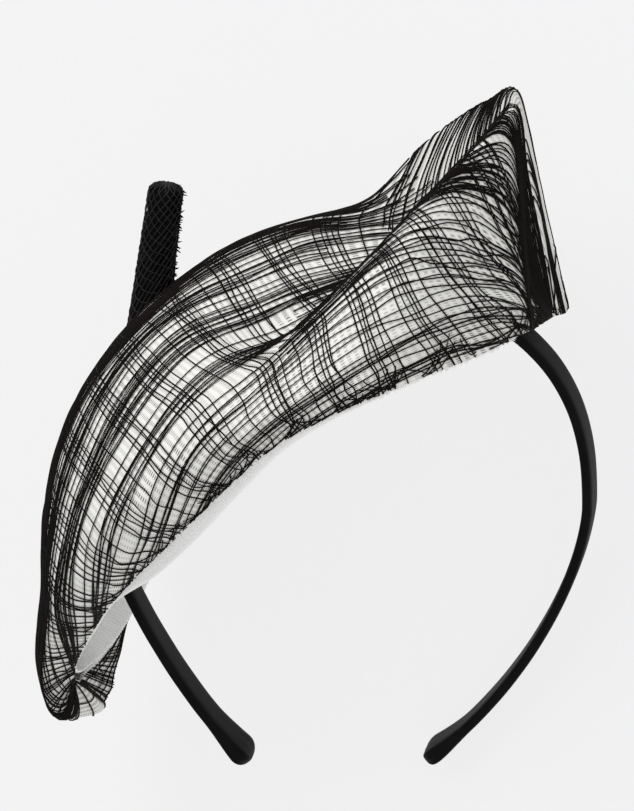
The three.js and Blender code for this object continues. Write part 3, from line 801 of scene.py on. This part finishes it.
def head_ribbon(material):
    """Ribbed ribbon: near side, a turn at the slit end, far side, with its ribs raised in the mesh."""
    count = 1400
    u = np.linspace(RIBBON_TO, RIBBON_FROM, count)
    near = ribbon_side(u, False)
    back = ribbon_side(u[::-1], True)
    turn_count = 60
    share = np.linspace(0, 1, turn_count + 2)[1:-1]
    bend = []
    for one, two in zip(near, back):
        start = one[-1]
        end = two[0]
        mixed = np.array([start * (1 - s) + end * s for s in share])
        bend.append(mixed)
    across = back[0][0] - near[0][-1]
    outward = near[0][-1] - near[0][-30]
    outward = unit(outward - unit(across) * (outward @ unit(across)))
    bulge = np.sin(share * math.pi) * np.linalg.norm(across) * 0.1
    bend[0] = bend[0] + outward * bulge[:, None]
    bend[1] = unit(bend[1] + 1e-3 - outward * np.sin(share * math.pi)[:, None])
    foot, inward, up, below, above = (np.concatenate(parts) for parts in zip(near, bend, back))
    inward = unit(inward)
    up = unit(up)
    length = np.concatenate([[0], np.cumsum(np.linalg.norm(np.diff(foot, axis=0), axis=1))])
    rib = np.abs(np.sin(length * math.pi / RIB_PITCH)) * RIB_HEIGHT
    heights = np.array([0, 0.02, 0.06, 0.12, 0.3, 0.5, 0.7, 0.88, 0.94, 0.98, 1])
    scallop = RIB_SCALLOP * np.sin(length * math.pi / RIB_PITCH) ** 2
    rows = []
    for face, sign in ((0.25, -1), (0.75, 1)):
        order = heights if sign < 0 else heights[::-1]
        for height in order:
            raise_by = -below - scallop + (below + above + 2 * scallop) * height
            fullness = min(1.0, height / 0.05, (1 - height) / 0.05)
            into = 0.5 + (face - 0.5) * (0.4 + 0.6 * fullness) + sign * rib * fullness
            rows.append(foot + inward * into[:, None] + up * raise_by[:, None])
    ring = np.stack(rows, 1)
    faces = ring_faces(*ring.shape[:2])
    ribbon = mesh_object("grosgrain_ribbon", ring.reshape(-1, 3), faces)
    return settle(ribbon, material, "grosgrain", "head_ribbon")


# Headband
BAND_HALF_WIDTH = 70.9
BAND_RISE = 63.6
BAND_WIDTH = 10.6
BAND_THICK = 3.1
ARM_DROP = {"left": 103.4, "right": 94.5}
TIP_DEPTH = {"left": 87.3, "right": 82.0}
TIP_LENGTH = 18.0
TIP_WIDTH_GAIN = 0.28
TIP_THICK_GAIN = 0.7
SHOULDER_POWER = {"left": 1.75, "right": 2.5}
ARM_POWER = {"left": 1.46, "right": 1.54}
BAND_SQUARENESS = 5
BAND_SIDES = 40
BAND_GIRTH = 27.4

# Share of the band's length that its rounded end takes
CAP_SHARE = 0.012

# Gathers of the satin: how far from each tip they lie, over what length, and how strong they are
GATHER_AT = 3.5
GATHER_LENGTH = 4.0
GATHER_STRENGTH = 0.12


def band_line():
    """Middle line of the band from the right tip over the head to the left tip."""
    angles = np.radians(-90 + np.arange(1441) * 0.25)
    c = np.cos(angles)
    s = np.sin(angles)
    points = np.zeros((len(angles), 3))
    for hand, mine in (("left", c < 0), ("right", c >= 0)):
        reach = np.where(s >= 0, BAND_RISE, ARM_DROP[hand])
        power = np.where(s >= 0, SHOULDER_POWER[hand], ARM_POWER[hand])
        total = np.abs(c / BAND_HALF_WIDTH) ** power + np.abs(s / reach) ** power
        radius = total ** (-1 / power)
        points[mine, 0] = (radius * c)[mine]
        points[mine, 2] = (radius * s)[mine]
    start = np.flatnonzero((points[:, 0] > 0) & (points[:, 2] > -TIP_DEPTH["right"]))[0]
    stop = np.flatnonzero((points[:, 0] < 0) & (points[:, 2] > -TIP_DEPTH["left"]))[-1]
    return points[start:stop + 1]


def headband(material):
    rng = np.random.default_rng(SEED + 5)
    line = band_line()
    length = np.concatenate([[0], np.cumsum(np.linalg.norm(np.diff(line, axis=0), axis=1))])
    total = length[-1]
    body = np.linspace(CAP_SHARE, 1 - CAP_SHARE, 520)
    cap = CAP_SHARE * (1 - np.cos(np.linspace(0, 1, 12)[1:] * math.pi / 2))
    round_off = np.sqrt(np.maximum(0, 1 - (1 - cap / CAP_SHARE) ** 2.2))
    shares = np.concatenate([cap, body[1:-1], 1 - cap[::-1]])
    shrink = np.concatenate([round_off, np.ones(len(body) - 2), round_off[::-1]])
    at = shares * total
    middle_line = np.stack([np.interp(at, length, line[:, k]) for k in range(3)], 1)
    tangent = unit(np.gradient(middle_line, axis=0))
    out = np.stack([tangent[:, 2], np.zeros(len(at)), -tangent[:, 0]], 1)
    from_tip = np.minimum(at, total - at)
    t = np.maximum(0, 1 - from_tip / TIP_LENGTH)
    swell = t * t * (3 - 2 * t)
    angle = (np.arange(BAND_SIDES) + 0.5) / BAND_SIDES * 2 * math.pi
    c = np.cos(angle)
    s = np.sin(angle)
    square = (np.abs(c) ** BAND_SQUARENESS + np.abs(s) ** BAND_SQUARENESS) ** (-1 / BAND_SQUARENESS)
    half = BAND_WIDTH / 2 * (1 + TIP_WIDTH_GAIN * swell) * shrink
    thick = BAND_THICK / 2 * (1 + TIP_THICK_GAIN * swell) * shrink
    gather = np.exp(-((from_tip - GATHER_AT) / GATHER_LENGTH) ** 2)
    phase = rng.uniform(0, 6.28)
    folds = np.sin(angle[None, :] * 9 + phase + from_tip[:, None] * 0.15)
    pleats = GATHER_STRENGTH * gather[:, None] * folds
    ease = 0.05 * np.sin(at[:, None] / 7.3 + 2 * angle[None, :]) * np.sin(at[:, None] / 3.1 + angle[None, :])
    scale = 1 + (pleats + ease) / 5
    across = half[:, None] * (square * c)[None, :] * scale
    through = thick[:, None] * (square * s)[None, :] * scale
    ring = middle_line[:, None] + np.array([0, 1, 0]) * across[..., None] + out[:, None] * through[..., None]
    faces = ring_faces(len(at), BAND_SIDES)[:, [0, 3, 2, 1]]
    band = mesh_object("satin_band", ring.reshape(-1, 3), faces)
    around = np.arange(BAND_SIDES) * BAND_GIRTH / BAND_SIDES
    cloth = np.stack(np.broadcast_arrays(at[:, None], around[None, :]), -1).reshape(-1, 2)
    layer = band.data.uv_layers.new(name="cloth")
    layer.data.foreach_set("uv", cloth[faces.ravel()].astype(np.float32).ravel())
    return settle(band, material, "satin", "headband")


# Stalk
STALK_LENGTH = 36.5
STALK_RADIUS = 5.1
STALK_FLARE = 1.16
STALK_FOOT = (0.446, 0.575)
STALK_LEAN = unit(np.array([0.11, 0.12, 0.98]))
STALK_SIDES = 64

# Level of the stalk where it starts to close
CLOSING_LEVEL = 0.93

# How far inside the stalk's radius lie the roll, the net over it and the roots of the frayed seam
ROLL_INSET = 0.5
NET_INSET = 0.28
SEAM_INSET = 0.45
SEAM_ENDS = 54

# Strands of the net each way round, and how far each turns on its way up, in radians
NET_STRANDS = 14
NET_TURN = 5.2
NET_RADIUS = 0.2


def stalk_frame():
    side = np.array([1.0, 0, 0])
    side = unit(side - STALK_LEAN * (side @ STALK_LEAN))
    deep = np.cross(STALK_LEAN, side)
    foot = hat_points(*STALK_FOOT)
    outward = hat_normals(np.array([STALK_FOOT[0]]), np.array([STALK_FOOT[1]]))[0]
    return foot, side, deep, outward


def stalk_point(turn, level, radius):
    """Points on the roll: turn in radians, level from the crown to the closed end."""
    foot, side, deep, outward = stalk_frame()
    level = np.asarray(level, float)
    turn = np.asarray(turn, float)
    flare = 1 + (STALK_FLARE - 1) * np.maximum(0, 1 - level) ** 1.5
    closing = np.maximum(0, (level - CLOSING_LEVEL) / (1 - CLOSING_LEVEL))
    close = np.sqrt(np.clip(1 - closing ** 2.4, 0, 1))
    close = 0.15 + 0.85 * close
    reach = radius * flare * close
    off = side * (np.cos(turn) * reach)[..., None] + deep * (np.sin(turn) * reach)[..., None]
    low = -(off @ outward) / (STALK_LEAN @ outward) - 0.1
    high = low + (STALK_LENGTH - low) * level
    return foot + off + STALK_LEAN * high[..., None]


def stalk(material, highlit_strand_material):
    rng = np.random.default_rng(SEED + 6)
    end_levels = CLOSING_LEVEL + (1 - CLOSING_LEVEL) * np.sin(np.linspace(0, 1, 12)[1:] * math.pi / 2)
    levels = np.concatenate([np.linspace(0, CLOSING_LEVEL, 60), end_levels])
    sides = STALK_SIDES
    turn = np.arange(sides) / sides * 2 * math.pi
    level_grid, turn_grid = np.meshgrid(levels, turn, indexing="ij")
    dents = 0.12 * np.sin(turn_grid * 5 + level_grid * 9) + 0.1 * np.sin(turn_grid * 3 - level_grid * 14)
    skin = stalk_point(turn_grid, level_grid, STALK_RADIUS - ROLL_INSET + dents)
    faces = ring_faces(len(levels), sides)
    points = skin.reshape(-1, 3)
    top = len(points)
    points = np.vstack([points, skin[-1].mean(0)])
    rim = (len(levels) - 1) * sides
    lid = np.array([[rim + a, rim + a + 1, rim + (a + 2) % sides, top] for a in range(0, sides, 2)])
    # The roll takes the near-black net colour, painted shade inside the net; the strands below take the
    # lighter copy, a painted highlight.
    roll = mesh_object("stalk_roll", points, np.vstack([faces, lid]))
    settle(roll, material, "net", "stalk")
    runs = []
    for hand in (-1, 1):
        for start in np.arange(NET_STRANDS) / NET_STRANDS * 2 * math.pi:
            level = np.linspace(0.0, 0.998, 90)
            angle = start + hand * level * NET_TURN + wander(rng, 90, 0.03, 8)
            radius = STALK_RADIUS - NET_INSET + 0.12 * hand * np.sin(level * 60)
            points = stalk_point(angle, level, radius)
            outward = unit(points - (stalk_frame()[0] + STALK_LEAN * STALK_LENGTH * level[:, None]))
            runs.append((points, outward, NET_RADIUS * rng.uniform(0.8, 1.2)))
    settle(tubes("stalk_net", runs, THREAD_SIDES), highlit_strand_material, "net")
    fringe = []
    for level in np.linspace(0.02, 0.985, SEAM_ENDS):
        angle = rng.normal(0.1, 0.1)
        root = stalk_point(np.array([angle]), np.array([level]), STALK_RADIUS - SEAM_INSET)[0]
        way = unit(np.array([1.0, rng.normal(0, 0.4), rng.normal(0.15, 0.7)]))
        reach = rng.uniform(0.5, 1.4) * (1.6 if level > 0.96 else 1)
        steps = np.linspace(0, 1, 4)[:, None]
        curl = rng.normal(0, 0.25, 3) * steps ** 2
        points = root + way * reach * steps + curl
        outward = np.tile(unit(np.cross(way, STALK_LEAN)), (4, 1))
        fringe.append((points, outward, np.array([0.26, 0.24, 0.2, 0.07]) * rng.uniform(0.7, 1.2)))
    settle(tubes("stalk_fringe", fringe, THREAD_SIDES), material, "net")


# The floor, the light and the camera
def floor_material():
    material, tree, shader = new_material("floor")
    place = node(tree, "ShaderNodeTexCoord").outputs["Object"]
    color = mix_color(tree, noise(tree, place, 3, 2), (0.075, 0.075, 0.075), (0.085, 0.085, 0.085))
    tree.links.new(color, shader.inputs["Base Color"])
    shader.inputs["Roughness"].default_value = 0.9
    shader.inputs["Specular IOR Level"].default_value = 0.1
    shader.inputs["Emission Color"].default_value = (1, 1, 1, 1)
    shader.inputs["Emission Strength"].default_value = FLOOR_GLOW
    return material


def make_floor():
    corners = np.array([[-1, -1, 0], [1, -1, 0], [1, 1, 0], [-1, 1, 0]]) * FLOOR_REACH
    floor = mesh_object("floor", corners, np.array([[0, 1, 2, 3]]), world=False)
    floor.data.materials.append(floor_material())


def camera_axes():
    psi = CAMERA_TURN
    rise = CAMERA_RISE
    right = np.array([math.cos(psi), math.sin(psi), 0])
    up = np.array([-math.sin(psi) * math.sin(rise), math.cos(psi) * math.sin(rise), math.cos(rise)])
    back = np.array([math.sin(psi) * math.cos(rise), -math.cos(psi) * math.cos(rise), math.sin(rise)])
    return right, up, back


def aim(made, right, up, back, place):
    matrix = np.eye(4)
    matrix[:3, 0] = turned(right)
    matrix[:3, 1] = turned(up)
    matrix[:3, 2] = turned(back)
    matrix[:3, 3] = to_world(place)
    made.matrix_world = Matrix(matrix.tolist())


def make_camera():
    right, up, back = camera_axes()
    shift_right = (IMAGE_WIDTH / 2 - ORIGIN_PIXEL[0]) * MM_PER_PIXEL
    shift_up = (ORIGIN_PIXEL[1] - IMAGE_HEIGHT / 2) * MM_PER_PIXEL
    target = right * shift_right + up * shift_up
    lens = bpy.data.cameras.new("camera")
    camera = bpy.data.objects.new("camera", lens)
    bpy.context.scene.collection.objects.link(camera)
    aim(camera, right, up, back, target + back * CAMERA_DISTANCE)
    lens.sensor_width = SENSOR_WIDTH
    lens.lens = SENSOR_WIDTH * CAMERA_DISTANCE / (IMAGE_HEIGHT * MM_PER_PIXEL)
    lens.clip_start = 0.05
    lens.clip_end = 40
    bpy.context.scene.camera = camera


def make_light(name, right_share, up_share, back_share, distance, size, power):
    right, up, back = camera_axes()
    way = unit(right * right_share + up * up_share + back * back_share)
    data = bpy.data.lights.new(name, "AREA")
    data.shape = "DISK"
    data.size = size
    data.energy = power
    light = bpy.data.objects.new(name, data)
    bpy.context.scene.collection.objects.link(light)
    side = unit(np.cross(up, way))
    aim(light, side, np.cross(way, side), way, way * distance)


def make_lights():
    for name, values in LAMPS.items():
        make_light(name, *values)
    world = bpy.data.worlds.new("studio")
    world.use_nodes = True
    world.node_tree.nodes["Background"].inputs["Color"].default_value = (1, 1, 1, 1)
    world.node_tree.nodes["Background"].inputs["Strength"].default_value = WORLD_STRENGTH
    bpy.context.scene.world = world
    bpy.context.scene.view_settings.view_transform = "Standard"


make_camera()
make_lights()
make_floor()
straw = straw_material()
thread = thread_material()
grosgrain = grosgrain_material()
satin = satin_material()
# The stalk is one black net: its roll and frayed seam are painted near black, painted shade inside the net,
# and the strands over the roll are painted lighter, a painted highlight on that same black net.
net = net_material("net", 0.001, 0.003, 0.04)
net_strand_highlit = net_material("net_strand_highlit", 0.005, 0.022, 0.12)
straw_shell(straw)
settle(tubes("threads_along", threads_along() + fin_threads(), THREAD_SIDES), thread, "net")
settle(tubes("threads_across", threads_across() + back_streaks(), THREAD_SIDES), thread, "net")
settle(tubes("rim_tangle", rim_tangle(), THREAD_SIDES), thread, "net")
settle(tubes("straw_fringe", straw_fringe(), THREAD_SIDES), grosgrain, "straw")
head_ribbon(grosgrain)
headband(satin)
stalk(net, net_strand_highlit)

bpy.context.view_layer.update()
